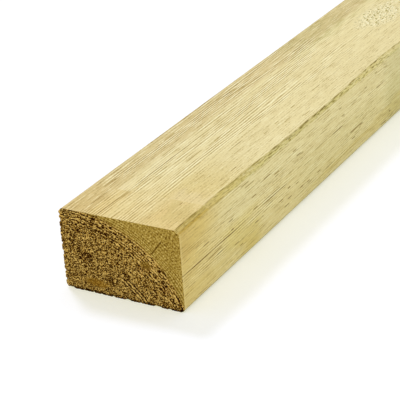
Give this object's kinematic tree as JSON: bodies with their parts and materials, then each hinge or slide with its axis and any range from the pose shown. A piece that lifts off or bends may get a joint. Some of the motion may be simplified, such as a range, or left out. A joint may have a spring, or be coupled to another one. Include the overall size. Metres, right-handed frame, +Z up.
{
  "type": "timber stud",
  "caption": "Straight softwood stud, planed and pressure-treated, with eased long edges and square-cut ends, lying on its broad face.",
  "frame": {"origin": "middle of the broad underside, half way along the length and half way across the width", "axes": "+X along the length, away from the end that shows in the picture; +Y across the width, away from the narrow face that shows in the picture; +Z up through the thickness"},
  "size_m": [2.4, 0.07, 0.045],
  "materials": {
    "treated_softwood": "planed, pressure-treated to a pale greenish yellow, matt"
  },
  "bodies": {
    "root": {"timber_stud": "treated_softwood"}
  },
  "joints": []
}
